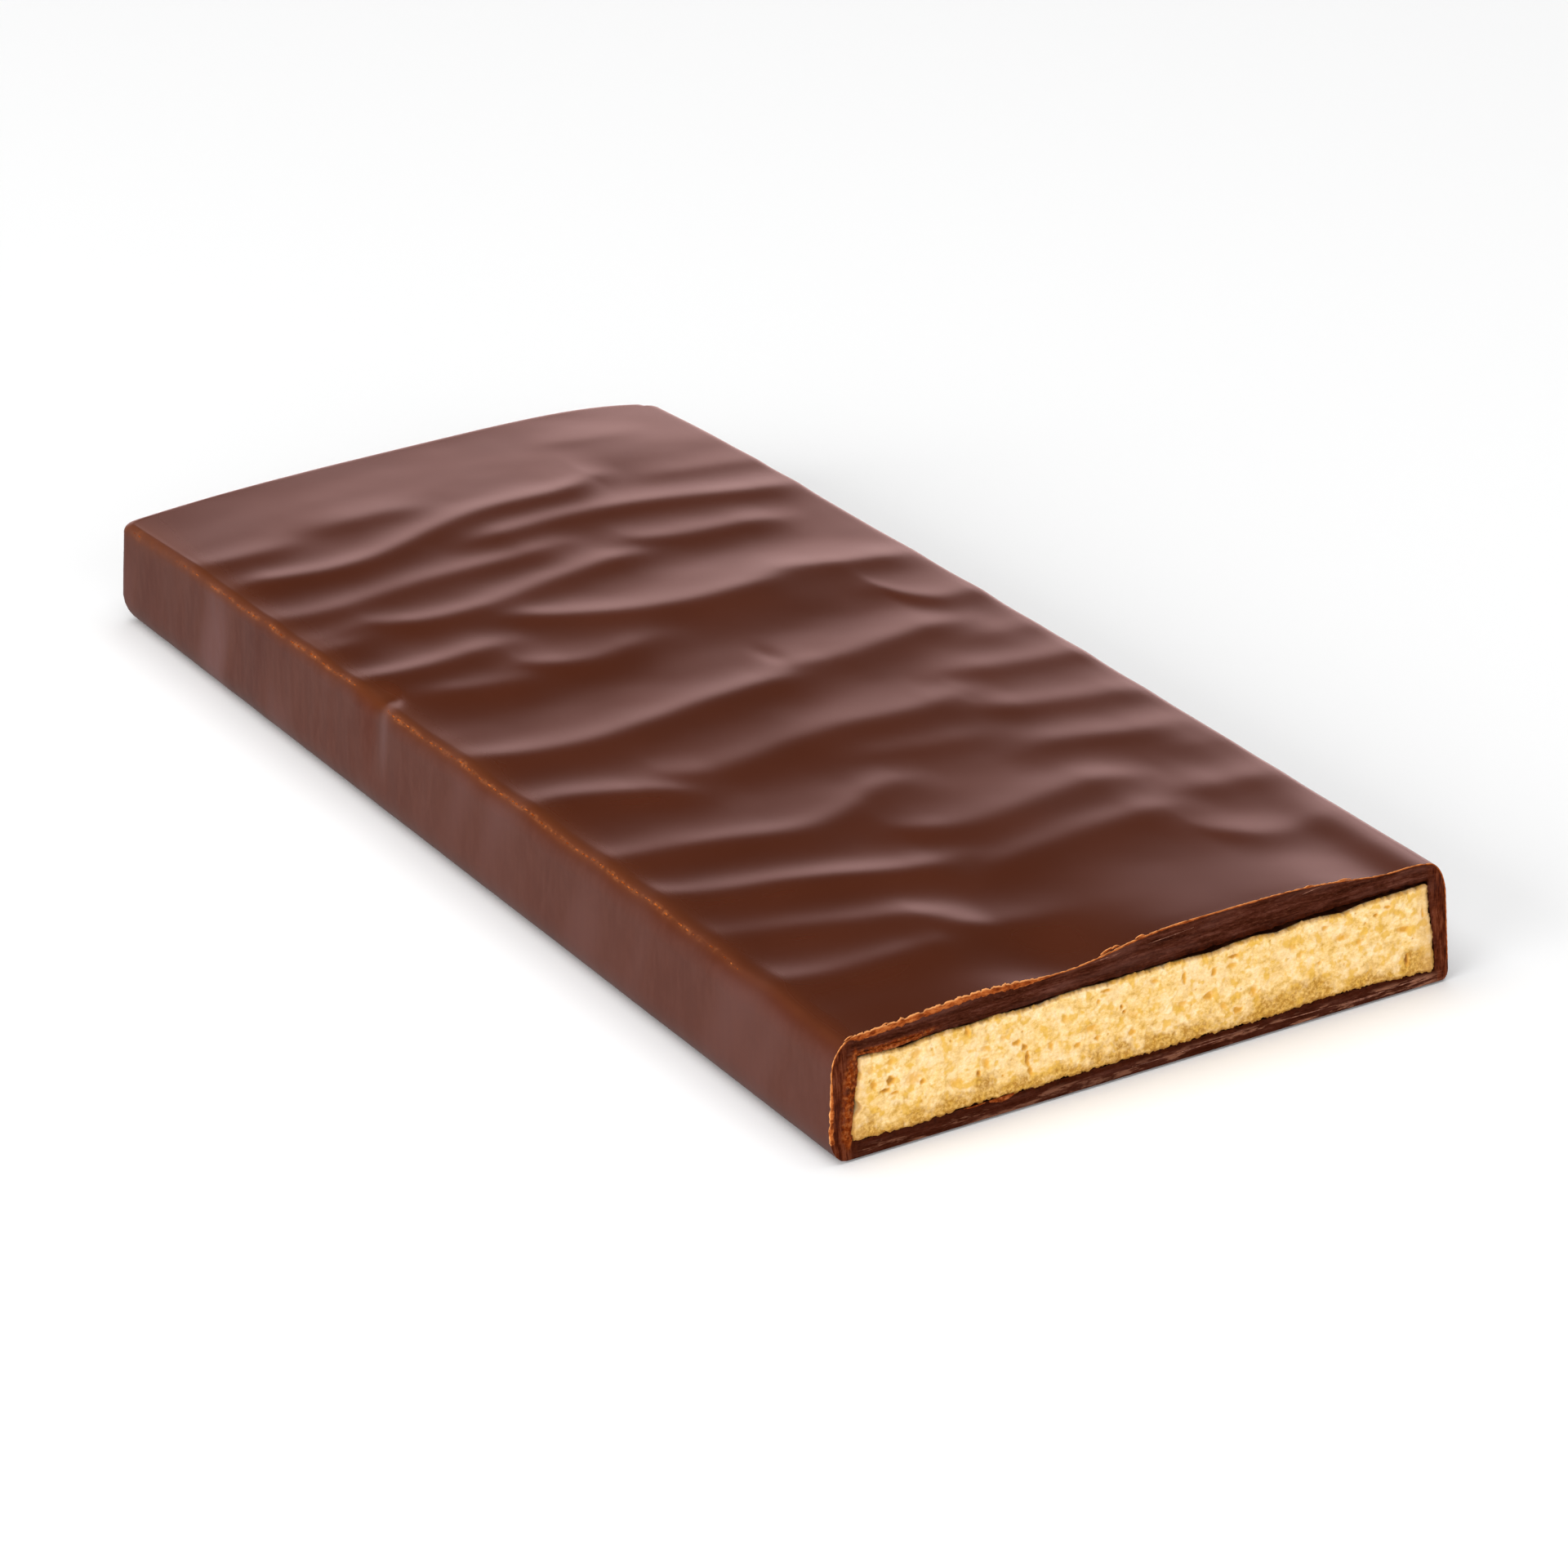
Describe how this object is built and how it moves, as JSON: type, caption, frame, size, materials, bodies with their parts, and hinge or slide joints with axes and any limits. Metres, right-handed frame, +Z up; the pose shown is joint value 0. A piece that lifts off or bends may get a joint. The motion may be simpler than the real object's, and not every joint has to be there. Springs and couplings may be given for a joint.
{
  "type": "filled chocolate bar",
  "caption": "Flat dark-chocolate-coated bar with a rippled top, cut across at one end to show its pale crumb filling.",
  "frame": {"origin": "middle of the flat resting face under the bar", "axes": "+X across the bar's width, +Y along its length from the cut end to the uncut far end, +Z up"},
  "size_m": [0.056, 0.131, 0.0115],
  "materials": {
    "chocolate": "satin",
    "filling": "matte"
  },
  "bodies": {
    "root": {"chocolate_coat": "chocolate", "filling": "filling"}
  },
  "joints": []
}
